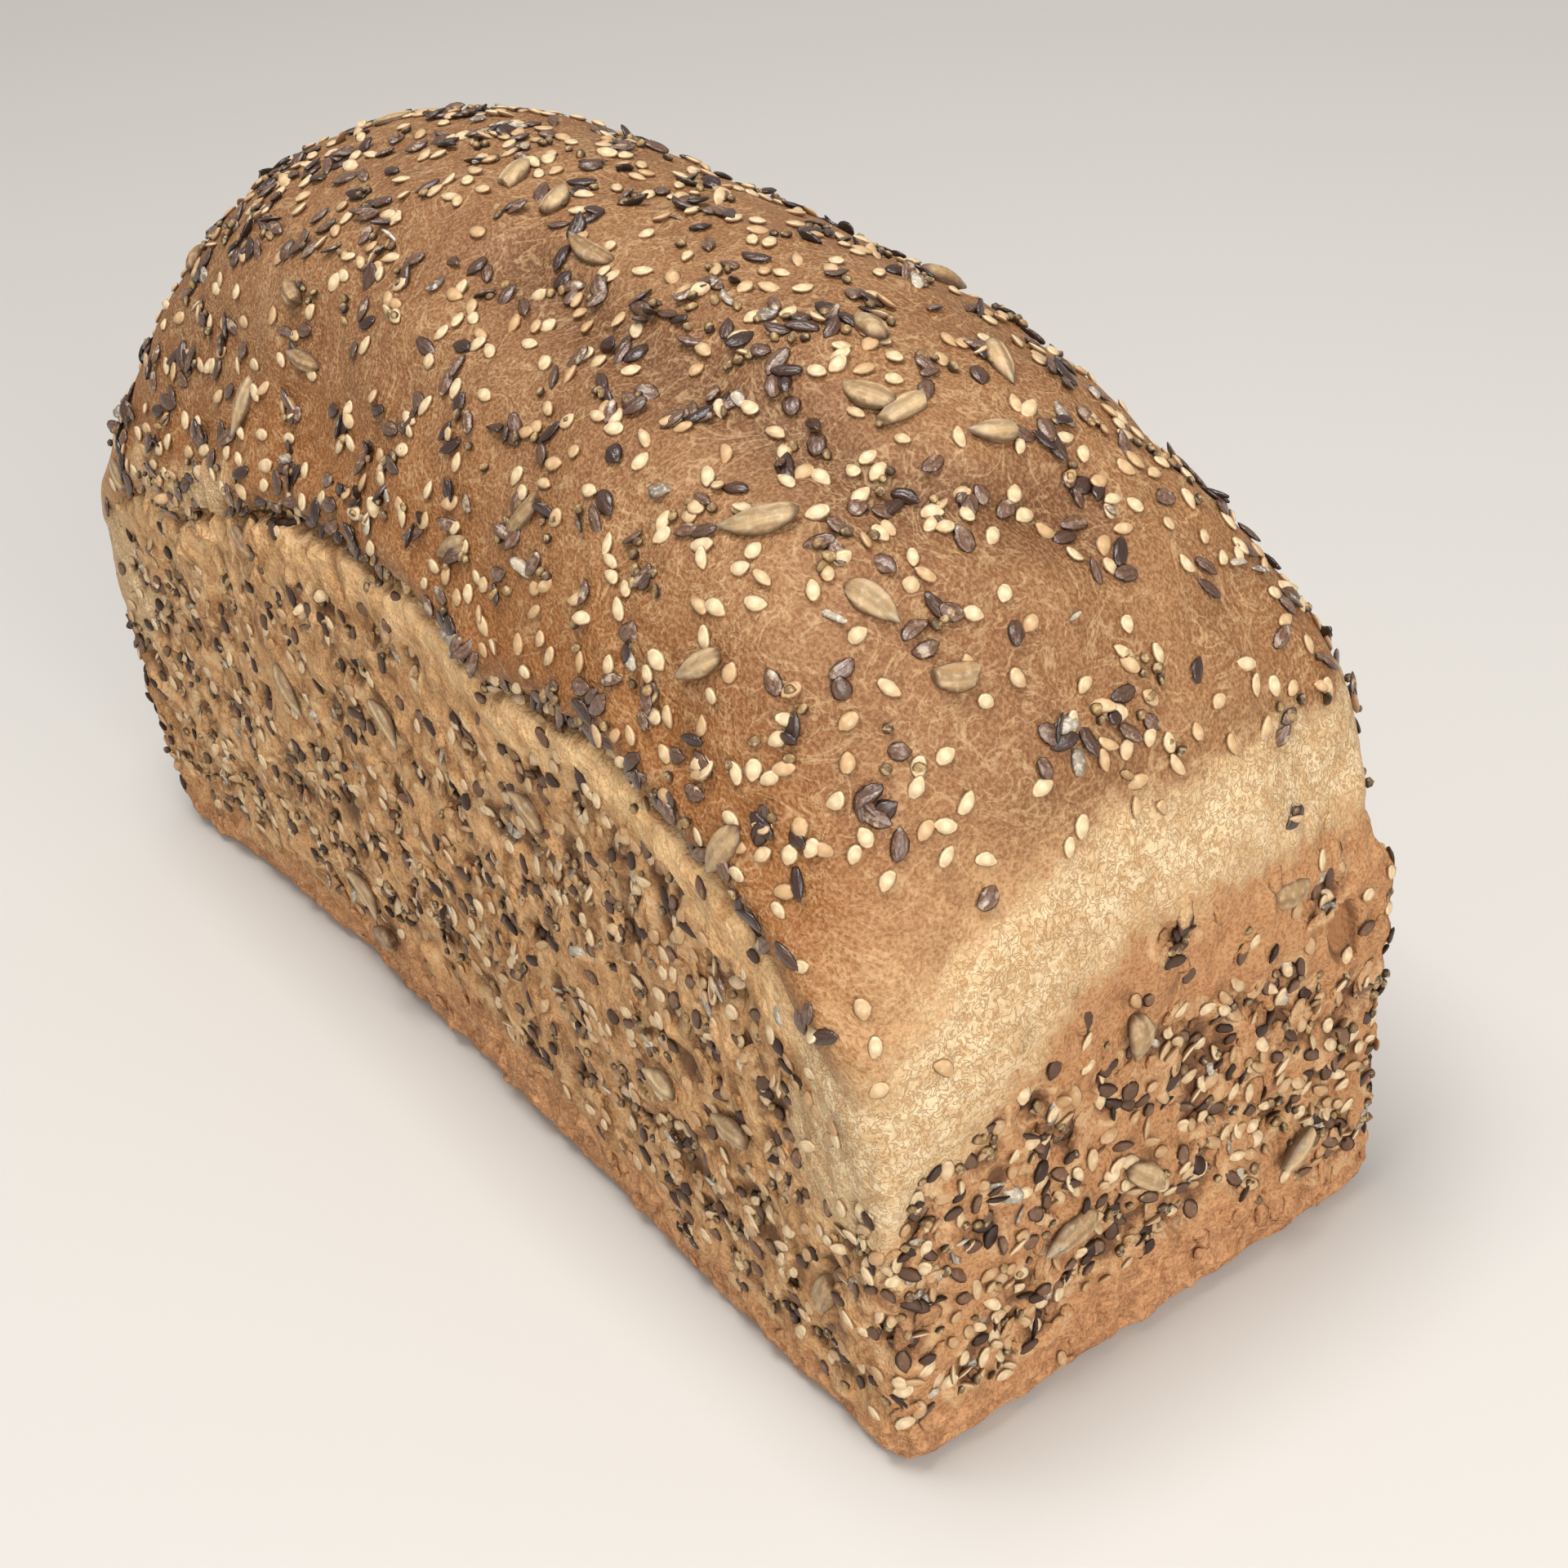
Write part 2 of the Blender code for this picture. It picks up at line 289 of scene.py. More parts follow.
def zones(p):
    """Where each place lies: on the wall, in the pale band, at the foot, and how well baked it is."""
    side_gap, torn = crease_gap(p)
    end_gap = band_gap(p)
    along = np.abs(p[:, 0])
    at_end = step(along, *END_WALL)
    slope_end = step(along, *END_SLOPE)
    wall_side = 1 - step(side_gap, -RIM_SOFTNESS, RIM_SOFTNESS)
    wall_end = 1 - step(end_gap, *BAND_FOOT)
    wall = wall_side * (1 - at_end) + wall_end * at_end
    near_side = step(-p[:, 1], 0.0, 0.045)
    band_half = END_BAND_HALF * (1 + 0.7 * near_side)
    pale = hill(end_gap, 0, np.where(end_gap < 0, 1.4 * band_half, band_half)) * slope_end
    lip_gap = side_gap + 0.0035 * wandering(p[:, 0], 0.008, 17)
    lip = step(lip_gap, *LIP_FOOT) * (1 - step(side_gap, *LIP_EDGE)) * (1 - at_end)
    lip = lip * (0.35 + 0.65 * step(p[:, 0], -0.030, 0.020))
    late = 1 - step(end_gap, 0.000, 0.012 + 0.030 * near_side)
    fresh = 1 - step(along, 0.085, 0.122)
    pit_away = np.hypot(*((p - PIT_PLACE)[:, 1:] / PIT_HALF).T)
    baked = (1 - wall) * (1 - 0.9 * late * slope_end) * (0.82 + 0.18 * fresh)
    stretched = step(torn, 0.15, 0.75) * (1 - step(side_gap, *STRETCHED_EDGE)) * (1 - wall)
    return {
        "wall": wall,
        "pale": np.maximum(pale, 0.62 * stretched),
        "lip": lip,
        "baked": baked * (1 - 0.9 * stretched),
        "foot": 1 - step(foot_gap(p, at_end), -0.004, 0.003),
        "gap": side_gap,
        "end_gap": end_gap,
        "at_end": at_end,
        "torn": torn,
        "furrow": furrow_depth(p),
        "rolled": hill(side_gap, 0.011, 0.013) * (1 - at_end) * (1 - wall) * (1 - stretched),
        "pit": (1 - step(pit_away, 0.60, 1.15)) * (p[:, 0] > 0.11),
        "crease": hill(side_gap, 0.0007, 0.0015) * (1 - step(along, *PLAIN_CORNER)),
    }


def push(piece, name, weights, strength, texture=None, middle=0.0, stretched=None):
    """Pushes the surface along its normals, by a weight for each vertex and perhaps a texture."""
    group = piece.vertex_groups.new(name=f"{name} share")
    for index in np.nonzero(weights > 0.01)[0]:
        group.add([int(index)], float(weights[index]), "REPLACE")
    displace = piece.modifiers.new(name, "DISPLACE")
    displace.vertex_group = group.name
    displace.strength = strength
    displace.mid_level = middle
    if texture:
        kind, size, depth = texture
        displace.texture = bpy.data.textures.new(name, kind)
        displace.texture.noise_scale = size
        if kind == "CLOUDS":
            displace.texture.noise_depth = depth
        displace.texture_coords = "LOCAL"
    if stretched:
        bpy.ops.object.empty_add(scale=stretched)
        ruler = bpy.context.object
        displace.texture_coords = "OBJECT"
        displace.texture_coords_object = ruler
        bpy.context.view_layer.update()
        bpy.context.view_layer.objects.active = piece
    bpy.ops.object.modifier_apply(modifier=displace.name)
    piece.vertex_groups.clear()
    if stretched:
        bpy.data.objects.remove(ruler)


# Calm places and normals, before the surface is broken up: the seeds lie by these.
calm_places = numbers(crust.data.vertices, "co")
calm_normals = numbers(crust.data.vertices, "normal")
zone = zones(calm_places)

# Every face of the crust is a place for a seed. Those already taken are kept by cells of a grid.
corners = np.array([list(face.vertices) for face in crust.data.polygons])
face_calm = calm_places[corners].mean(axis=1)
face_normals = calm_normals[corners].mean(axis=1)
face_normals /= np.linalg.norm(face_normals, axis=1, keepdims=True)
face_areas = numbers(crust.data.polygons, "area", 1) * 1e4
face_zone = {name: values[corners].mean(axis=1) for name, values in zone.items()}
GRID = 0.006
taken = {}


def cell(place):
    """The cell of the grid that a place lies in."""
    return tuple(np.floor(place / GRID).astype(int))


def free(place, radius, crowding):
    """Whether a seed of a radius has the room there that the crowding leaves it."""
    x, y, z = cell(place)
    for a in (x - 1, x, x + 1):
        for b in (y - 1, y, y + 1):
            for c in (z - 1, z, z + 1):
                for other, other_radius in taken.get((a, b, c), ()):
                    if np.linalg.norm(place - other) < crowding * (radius + other_radius):
                        return False
    return True


def sow(density, radius, crowding, rng):
    """Faces of the crust for seeds, by seeds to the square centimetre, with room between them."""
    chances = np.clip(density, 0, None) * face_areas
    chosen = []
    for face in rng.choice(len(chances), int(chances.sum() * 1.6), p=chances / chances.sum()):
        if len(chosen) >= chances.sum():
            break
        place = face_calm[face]
        if free(place, radius, crowding):
            taken.setdefault(cell(place), []).append((place, radius))
            chosen.append(face)
    return np.array(chosen)


taken[cell(PIT_PLACE)] = [(PIT_PLACE, PIT_ROOM)]
clump = patches(face_calm, 0.011, 1)
drift = patches(face_calm, 0.030, 2)
on_side = (1 - face_zone["at_end"]) * step(np.abs(face_calm[:, 1]), 0.036, 0.044)
gutter = hill(face_zone["gap"], 0.0024, 0.0036) * on_side * (0.22 + 1.5 * step(clump, 0.45, 0.62))
gutter *= 1 - 0.8 * step(np.abs(face_calm[:, 0]), *PLAIN_CORNER)
gutter *= 1 - 0.55 * face_zone["torn"]
under_rim = np.where(face_zone["at_end"] > 0.5, face_zone["end_gap"] + 0.004, face_zone["gap"])
off_foot = 1 - 0.985 * step(face_zone["foot"], 0.0, 0.6)
wall_part = face_zone["wall"] * off_foot * step(face_calm[:, 2], 0.003, 0.008)
rim_foot = np.where(face_zone["at_end"] > 0.5, -0.014, -0.015)
wall_part *= 1 - 0.92 * step(under_rim, rim_foot, -0.0065)
wall_part *= 0.85 + 1.55 * step(face_calm[:, 0], 0.000, 0.080) * (1 - face_zone["at_end"])
dome_part = (1 - face_zone["wall"]) * (0.10 + 0.90 * step(face_zone["baked"], 0.2, 0.8))
dome_part *= 1 - 0.7 * face_zone["pale"]
low_end = face_zone["at_end"] * (1 - step(face_calm[:, 2], 0.042, 0.074))
wall_part *= 1 - 0.45 * (face_zone["at_end"] - low_end)


def tree_of(places):
    """A tree of places, to look for the nearest ones in."""
    tree = KDTree(len(places))
    for index, place in enumerate(places):
        tree.insert(place, index)
    tree.balance()
    return tree


# The topping fell in little heaps as well as singly. Each heap takes a few of several kinds.
HEAP_KINDS = ("linseed", "grain", "sesame", "flake")
HEAP_SHARES = (0.42, 0.34, 0.20, 0.04)
WALL_HEAP_SHARES = (0.30, 0.34, 0.29, 0.07)
END_HEAP_SHARES = (0.27, 0.31, 0.31, 0.11)
HEAP_ROOM = (0.0024, 1.0)
HEAP_FEWEST = 2
HEAP_MORE = 2.6
HEAP_SPREAD = 0.0017
HEAP_HALF = 0.0025
HEAP_LIFT = 0.0010
heap_rng = np.random.default_rng(20)
heap_density = 0.43 * dome_part * (0.6 + 0.9 * step(clump, 0.4, 0.65)) * (1 + 1.5 * face_zone["furrow"])
heap_density = heap_density + 2.6 * gutter
heap_density = heap_density + wall_part * (0.62 + 1.0 * step(drift, 0.45, 0.65) + 1.1 * low_end)
heap_members = {kind: [] for kind in HEAP_KINDS}
face_tree = tree_of(face_calm)
heap_faces = sow(heap_density, *HEAP_ROOM, heap_rng)
for face in heap_faces:
    members = HEAP_FEWEST + heap_rng.poisson(HEAP_MORE)
    shares = WALL_HEAP_SHARES if face_zone["wall"][face] > 0.5 else HEAP_SHARES
    shares = END_HEAP_SHARES if low_end[face] > 0.3 else shares
    for rank in range(members):
        place = face_calm[face] + heap_rng.normal(0, HEAP_SPREAD, 3)
        under = face_tree.find(place)[1]
        piled = hill(np.linalg.norm(face_calm[under] - face_calm[face]), 0, HEAP_HALF)
        lift = HEAP_LIFT * piled * rank / members * heap_rng.uniform(0.2, 1)
        kind = heap_rng.choice(HEAP_KINDS, p=shares)
        if face_zone["pit"][under] < 0.1:
            heap_members[kind].append((under, lift))

# On the walls each heap left a hollow in the dough, with a torn rim. The same mark paints shade into the
# dough under each heap, more weakly on the dome, where the dough is not pushed in.
HOLLOW_REACH = 0.0031
HOLLOW_SIZES = (0.45, 1.35)
HOLLOW_EDGE = 2.6
hollow = np.zeros(len(calm_places))
vertex_tree = tree_of(calm_places)
for face in heap_faces:
    reach = HOLLOW_REACH * heap_rng.uniform(*HOLLOW_SIZES)
    long_way = heap_rng.normal(0, 1, 3)
    long_way /= np.linalg.norm(long_way)
    for place, index, _ in vertex_tree.find_range(face_calm[face], HOLLOW_EDGE * reach):
        away = np.array(place) - face_calm[face]
        distance = math.sqrt(max(away @ away - 0.6 * (away @ long_way) ** 2, 0))
        hollow[index] = max(hollow[index], math.exp(-((distance / reach) ** 2)))
zone["hollow"] = hollow * (0.36 + 0.64 * zone["wall"]) * (1 - 0.6 * zone["lip"])
face_zone["hollow"] = zone["hollow"][corners].mean(axis=1)

above_base = step(calm_places[:, 2], 0.0004, 0.004)
side_ends = step(np.abs(calm_places[:, 0]), 0.119, 0.125)
long_side = step(np.abs(calm_places[:, 1]), 0.034, 0.043) * (1 - side_ends)
corner = step(np.abs(calm_places[:, 0]), 0.095, 0.112)
push(crust, "crease", hill(zone["gap"], 0.0005, 0.0015) * long_side * (1 - corner), -0.0036)
push(crust, "lip", hill(zone["gap"], -0.0044, 0.0032) * long_side * (1 - corner), 0.0006)
push(crust, "overhang", hill(zone["gap"], 0.0060, 0.0038) * long_side, 0.0014)
tear = hill(zone["gap"], -0.006, 0.009) * long_side * zone["torn"]
push(crust, "tear", tear, 0.0050, ("CLOUDS", 0.005, 2), 0.35)
walls = zone["wall"] * above_base * (1 - 0.45 * zone["pale"])
walls *= 1 - 0.25 * zone["lip"] * (1 - zone["torn"])
push(crust, "lumps", walls, -0.0030, ("CLOUDS", 0.0060, 2), 0.30, (1, 1, 1.7))
push(crust, "pocks", walls * (0.45 + 0.55 * zone["foot"]), -0.0016, ("CLOUDS", 0.0024, 0), 0.45)
push(crust, "hollows", zone["hollow"] * zone["wall"] * above_base, -0.0017)
push(crust, "pit", zone["pit"], -0.0026)
push(crust, "valley", zone["furrow"], -0.0024)
dome = (1 - zone["wall"]) * above_base
push(crust, "swell", dome, 0.0022, ("CLOUDS", 0.016, 1), 0.5)
push(crust, "ripple", dome, 0.0007, ("CLOUDS", 0.0045, 1), 0.5)

# what the dough's material reads at each place
DOUGH_MARKS = (
    "wall",
    "pale",
    "lip",
    "baked",
    "foot",
    "rolled",
    "torn",
    "furrow",
    "hollow",
    "crease",
    "pit",
    "at_end",
)


def mark(piece, name, values):
    """Keeps a value for each vertex of a piece, for its material to read."""
    attribute = piece.data.attributes.new(name, "FLOAT", "POINT")
    attribute.data.foreach_set("value", values.astype(np.float32))


for name in DOUGH_MARKS:
    mark(crust, name, zone[name])
bpy.ops.object.shade_smooth()


class Value:
    """A shader value: sums written in Python on it add the Math nodes that work them out."""

    def __init__(self, look, socket):
        self.look = look
        self.socket = socket

    def math(self, operation, *others):
        """A Math node of this value and others."""
        values = {place: value for place, value in enumerate((self, *others))}
        return self.look.node("ShaderNodeMath", {"operation": operation}, values)

    def __add__(self, other):
        return self.math("ADD", other)

    def __mul__(self, other):
        return self.math("MULTIPLY", other)

    def __sub__(self, other):
        return self.math("SUBTRACT", other)

    def __rsub__(self, other):
        return self.look.node("ShaderNodeMath", {"operation": "SUBTRACT"}, {0: other, 1: self})

    __radd__ = __add__
    __rmul__ = __mul__

    def between(self, low, high):
        """Rises smoothly from 0 at low to 1 at high."""
        settings = {"interpolation_type": "SMOOTHSTEP"}
        values = {"Value": self, "From Min": low, "From Max": high}
        return self.look.node("ShaderNodeMapRange", settings, values)


class Look:
    """A material in the making."""

    def __init__(self, name):
        self.material = bpy.data.materials.new(name)
        self.material.use_nodes = True
        self.tree = self.material.node_tree
        self.surface = self.tree.nodes["Principled BSDF"]

    def node(self, kind, settings, values, output=0):
        """Any node: its settings are made first, then its sockets get values or links."""
        made = self.tree.nodes.new(kind)
        for name, setting in settings.items():
            setattr(made, name, setting)
        for socket, value in values.items():
            if isinstance(value, Value):
                self.tree.links.new(value.socket, made.inputs[socket])
            else:
                made.inputs[socket].default_value = value
        return Value(self, made.outputs[output])

    def place(self):
        """Where on the object each point is."""
        return self.node("ShaderNodeTexCoord", {}, {}, "Object")

    def attribute(self, name):
        """What a piece keeps under a name at each point."""
        return self.node("ShaderNodeAttribute", {"attribute_name": name}, {}, "Fac")

    def grain(self, size, detail=2.0, rough=0.5, warp=0.0, place=None):
        """Noise whose blobs are about one size across, from 0 to 1."""
        values = {"Vector": place or self.place(), "Scale": 1 / size, "Detail": detail, "Roughness": rough}
        values["Distortion"] = warp
        return self.node("ShaderNodeTexNoise", {}, values)

    def mix(self, share, first, second, blend="MIX"):
        """A mix of two colours."""
        settings = {"data_type": "RGBA", "blend_type": blend}
        return self.node("ShaderNodeMix", settings, {0: share, 6: first, 7: second}, 2)

    def stretched(self, scale):
        """The place, scaled unevenly, so that what follows it is drawn out."""
        return self.node("ShaderNodeMapping", {}, {"Vector": self.place(), "Scale": scale})

    def bump(self, height, depth, strength=1.0, under=None):
        """A normal for a height, a fine one perhaps on top of a coarser one."""
        values = {"Height": height, "Distance": depth, "Strength": strength}
        if under:
            values["Normal"] = under
        return self.node("ShaderNodeBump", {}, values)

    def finish(self, colour, roughness, normal=None, constants=None):
        """Joins the worked-out looks to the surface and sets its constants."""
        for name, value in (("Base Color", colour), ("Roughness", roughness), ("Normal", normal)):
            if isinstance(value, Value):
                self.tree.links.new(value.socket, self.surface.inputs[name])
            elif value is not None:
                self.surface.inputs[name].default_value = value
        for name, value in (constants or {}).items():
            self.surface.inputs[name].default_value = value
        return self.material


def tint(red, green, blue):
    """A colour as a screen shows it, 0 to 255, in the linear values that shaders use."""
    shares = [channel / 255 for channel in (red, green, blue)]
    return (*(s / 12.92 if s <= 0.04045 else ((s + 0.055) / 1.055) ** 2.4 for s in shares), 1)


# Baked dough: pale and floury where it stretched last, brown on the dome, dull tan and rough
# where the tin held it. The dome's skin is pimpled, with bundles of fine pale threads across it.
def baked_dough():
    look = Look("baked_dough")
    marks = [look.attribute(name) for name in DOUGH_MARKS]
    wall, pale, lip, baked, foot, rolled, torn, furrow, hollow, crease, pit, at_end = marks
    cloud = look.grain(0.022, 3)
    mottle = look.grain(0.0065, 3, 0.6)
    patch = look.grain(0.0036, 4, 0.68, 0.8)
    speck = look.grain(0.00058, 1, 0.5, 0.2)
    crumbs = look.grain(0.0006, 2, 0.6)
    bundle = look.grain(0.0105, 2, 0.6, 0.6)
    across = look.stretched((1, 0.38, 0.8))
    fine = 1 - (look.grain(0.0019, 2, 0.5, 0.25, across) - 0.5).math("ABSOLUTE") * 2
    coarse = 1 - (look.grain(0.0110, 3, 0.6, 1.5) - 0.5).math("ABSOLUTE") * 2
    bundled = bundle.between(0.53, 0.64)
    threads = fine.between(0.90, 0.985) * (0.04 + 0.96 * bundled)
    wrinkles = coarse.between(0.955, 0.995)
    veins = 1 - (look.grain(0.0014, 2, 0.5, 1.2) - 0.5).math("ABSOLUTE") * 2
    outlines = veins.between(0.89, 0.975)
    streak = look.grain(0.0048, 3, 0.55, 0.5, look.stretched((1, 1, 0.6)))

    brown = look.mix(cloud.between(0.3, 0.7), tint(147, 105, 67), tint(130, 88, 53))
    brown = look.mix(mottle.between(0.35, 0.75) * 0.2, brown, tint(154, 114, 72))
    brown = look.mix(rolled * 0.75, brown, tint(150, 95, 44))
    # Painted shade: the brown darkens towards the floor of the furrow's hollow.
    brown = look.mix(furrow * 0.8, brown, tint(104, 68, 38))
    light = look.mix(mottle.between(0.35, 0.65), tint(188, 147, 101), tint(168, 126, 83))
    cream = look.mix(patch.between(0.36, 0.62), tint(226, 203, 163), tint(202, 167, 121))
    # The streak that raises the wall's relief also colours it, paler on its ridges and darker in its
    # troughs: partly the dough's own streaky colour, partly painted highlight and painted shade.
    tan = look.mix(streak.between(0.36, 0.60), tint(154, 110, 67), tint(202, 157, 107))
    tan = look.mix(cloud.between(0.45, 0.75) * 0.35, tan, tint(158, 116, 74))
    tan = look.mix(patch.between(0.54, 0.66) * 0.5, tan, tint(212, 178, 130))
    crumb = look.mix(patch.between(0.38, 0.62), tint(202, 150, 104), tint(157, 108, 71))
    tan = look.mix(at_end * 0.70, tan, tint(172, 121, 80))
    tan = look.mix(foot * 0.8, tan, crumb)
    # The lip is paler where the same streak raises it: painted highlight on its ridges, over the lip's own
    # pale colour.
    lip_tan = look.mix(streak.between(0.34, 0.64), tint(202, 156, 104), tint(236, 199, 146))

    browned = (baked + (mottle - 0.5) * 0.5).between(0.10, 0.90)
    colour = look.mix(browned, light, brown)
    colour = look.mix(wall, colour, tan)
    colour = look.mix(lip * 0.92, colour, lip_tan)
    skin = (1 - wall) * (0.6 + 0.4 * baked)
    lit = look.mix(0.13, colour, tint(236, 186, 138))
    shaded = look.mix(1.0, colour, tint(236, 220, 206), "MULTIPLY")
    colour = look.mix(speck.between(0.50, 0.60), colour, lit)
    colour = look.mix(speck.between(0.47, 0.36), colour, shaded)
    creamy = (pale + lip * 0.38 + (patch - 0.5) * 1.5 + (mottle - 0.5) * 0.9).between(0.32, 0.72)
    colour = look.mix(creamy * 0.92, colour, cream)
    colour = look.mix(outlines * (0.14 + 0.40 * creamy + 0.25 * lip) * (1 - 0.4 * wall), colour, shaded)
    colour = look.mix(outlines * creamy * cloud.between(0.30, 0.55) * 0.65, colour, tint(186, 140, 92))
    thread = look.mix(0.5, colour, tint(240, 208, 156))
    colour = look.mix(threads * (0.10 + 0.26 * skin) * (1 - 0.7 * furrow), colour, thread)
    colour = look.mix(wrinkles * skin * 0.4, colour, thread)
    # Painted shade in the low places of the wall's streaky relief.
    dimple_shade = streak.between(0.42, 0.30) * wall * (1 - 0.6 * foot) * (1 - 0.8 * lip)
    colour = look.mix(dimple_shade * 0.55, colour, tint(112, 76, 46))
    rim = hollow.between(0.06, 0.18) * hollow.between(0.55, 0.30) * wall
    colour = look.mix(rim * patch.between(0.42, 0.60) * 0.5, colour, tint(222, 188, 142))
    # Painted shade in the hollows and under the heaps of seeds.
    colour = look.mix((hollow + (patch - 0.5) * 1.2).between(0.38, 0.90) * 0.8, colour, tint(82, 50, 30))
    # Painted shade along the crease, in broken patches.
    colour = look.mix(crease * patch.between(0.62, 0.42) * 0.75, colour, tint(84, 52, 28))
    colour = look.mix(pit * 0.75, colour, look.mix(streak, tint(170, 122, 80), tint(138, 92, 56)))
    # Painted shade in a ring on the pit's sloping sides.
    colour = look.mix(pit.between(0.08, 0.40) * pit.between(0.85, 0.50) * 0.6, colour, tint(98, 62, 36))
    flour = torn * wall * (1 - foot) * patch.between(0.48, 0.62)
    colour = look.mix(flour * 0.5, colour, tint(226, 196, 150))

    relief = speck * 0.46 + fine * bundled * 0.16 - outlines * creamy * 0.14
    relief = relief + mottle * 0.9 + wall * streak * 1.8
    normal = look.bump(crumbs, 0.00018, 0.8, look.bump(relief, 0.0009, 0.85))
    return look.finish(colour, 0.52 + 0.2 * speck + 0.2 * wall, normal, {"Specular IOR Level": 0.35})


dough_look = baked_dough()
crust.data.materials.append(dough_look)
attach(crust, "root")
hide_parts("loaf")
face_places = numbers(crust.data.vertices, "co")[corners].mean(axis=1)


# Sunflower kernels: hulled, grey-tan and ribbed along their length, pointed at one end, some of
# them snapped at both ends. They were strewn on the moist dough and sank in a little before it baked.
KERNEL_HALF = (0.0052, 0.0023, 0.0014)
KERNEL_VARIETY = 0.14
KERNEL_SNAP = (0.62, 0.74)
KERNEL_SNAPPED_EACH = 3
KERNEL_ROOM = (0.0042, 0.9)
KERNEL_SINK = (0.28, 0.18)
KERNEL_TILT = 0.3
# to the square centimetre: on the dome, on the walls, and besides low on an end
KERNEL_THICKNESS = (0.040, 0.085, 0.30)
# places and turns in degrees of those that stand out
KERNELS_SEEN = [
    (0.107, -0.020, 0.122, 10),
    (0.081, -0.043, 0.123, 60),
    (0.078, -0.030, 0.138, 60),
    (0.038, -0.044, 0.129, 75),
    (0.022, -0.048, 0.120, 50),
    (-0.036, -0.043, 0.130, 20),
    (-0.043, -0.037, 0.138, 0),
    (0.062, 0.003, 0.152, 60),
    (0.073, -0.007, 0.149, 20),
    (0.078, -0.003, 0.147, 75),
    (0.087, 0.007, 0.143, -10),
    (0.074, 0.018, 0.146, -15),
    (-0.020, -0.005, 0.155, 0),
    (-0.005, -0.006, 0.155, -10),
    (0.010, -0.012, 0.154, 30),
    (0.126, 0.0252, 0.0731, 0),
    (0.124, -0.018, 0.034, 20),
    (0.094, -0.050, 0.102, 80),
]


def seed_shape(name, segments, rings, tip_width, tip_thickness, reach, snap=None):
    """One seed of unit size that lies along X, drawn in towards its tip, perhaps snapped."""
    bpy.ops.object.select_all(action="DESELECT")
    bpy.ops.mesh.primitive_uv_sphere_add(
        segments=segments,
        ring_count=rings,
        radius=1,
        rotation=(0, math.pi / 2, 0),
    )
    seed = bpy.context.object
    seed.name = name
    bpy.ops.object.transform_apply(rotation=True)
    select_where(seed, lambda co: co.x > 0.99)
    bpy.ops.transform.resize(
        value=(1, tip_width, tip_thickness),
        center_override=(0, 0, 0),
        use_proportional_edit=True,
        proportional_edit_falloff="SMOOTH",
        proportional_size=reach,
    )
    if snap is not None:
        for end, slant in ((snap[0], (1, 0.15, 0.1)), (-snap[1], (-1, 0.2, 0))):
            bpy.ops.mesh.select_all(action="SELECT")
            bpy.ops.mesh.bisect(plane_co=(end, 0, 0), plane_no=slant, use_fill=True, clear_outer=True)
    bpy.ops.object.mode_set(mode="OBJECT")
    shape = (numbers(seed.data.vertices, "co"), [list(face.vertices) for face in seed.data.polygons])
    bpy.data.objects.remove(seed)
    return shape


def turned_frames(normals, turns, tilts, rng):
    """A frame for each seed: its length, its width and its upward direction."""
    tangents = np.cross(normals, [0.31, 0.17, 0.93])
    tangents /= np.linalg.norm(tangents, axis=1, keepdims=True)
    sideways = np.cross(normals, tangents)
    long = tangents * np.cos(turns)[:, None] + sideways * np.sin(turns)[:, None]
    wide = np.cross(normals, long)
    lean = rng.uniform(0, 2 * np.pi, len(normals))
    up = normals + (long * np.cos(lean)[:, None] + wide * np.sin(lean)[:, None]) * np.tan(tilts)[:, None]
    up /= np.linalg.norm(up, axis=1, keepdims=True)
    wide = np.cross(up, long)
    wide /= np.linalg.norm(wide, axis=1, keepdims=True)
    return np.stack([np.cross(wide, up), wide, up], axis=1)


def strew(name, shape, places, frames, halves, rng, uneven=0.0):
    """One mesh of many seeds, each with its own size, bend, dents and tone."""
    base, faces = shape
    count = len(base)
    dents = 1 + uneven * rng.uniform(-1, 1, (len(places), count, 1))
    local = base[None] * halves[:, None] * dents
    bend = rng.normal(0, 0.10, (len(places), 2))[:, None] * local[:, :, :1] ** 2 / halves[:, :1, None]
    local[:, :, 1:] += bend * [1, 0.7]
    points = np.einsum("nvi,nij->nvj", local, frames) + places[:, None]
    listed = [[index + count * n for index in face] for n in range(len(places)) for face in faces]
    mesh = bpy.data.meshes.new(name)
    mesh.from_pydata(points.reshape(-1, 3).tolist(), [], listed)
    mesh.polygons.foreach_set("use_smooth", [True] * len(mesh.polygons))
    piece = bpy.data.objects.new(name, mesh)
    bpy.context.scene.collection.objects.link(piece)
    mark(piece, "tone", np.repeat(rng.uniform(0, 1, len(places)), count))
    mark(piece, "along", np.tile(base[:, 0], len(places)))
    mark(piece, "across", np.tile(base[:, 1], len(places)))
    mark(piece, "height", np.tile(base[:, 2], len(places)))
    return piece


def settle(faces, halves, lifts, dome_sink, wall_sink, rng):
    """Places for seeds: on the dome they lie on the crust, on the walls the dough closed on them."""
    wall_share = face_zone["wall"][faces]
    sink = dome_sink + (wall_sink - dome_sink) * wall_share
    sink = sink + rng.normal(0, 0.12, len(faces)) * wall_share - 0.18 * low_end[faces]
    lift = halves[:, 2] * (1 - 2 * sink) + lifts * (1 - 0.35 * wall_share)
    return face_places[faces] + face_normals[faces] * lift[:, None]


def spread(rng, count, half, vary):
    """Half sizes for a number of seeds, each a little different."""
    return np.array(half) * (1 + np.clip(rng.normal(0, vary, (count, 3)), -2 * vary, 2 * vary))


def gathered(faces, kind):
    """Faces and lifts of the seeds that lie singly, followed by those of one kind in the heaps."""
    heaped = heap_members.get(kind, [])
    all_faces = np.concatenate([faces, [face for face, _ in heaped]]).astype(int)
    return all_faces, np.concatenate([np.zeros(len(faces)), [lift for _, lift in heaped]])


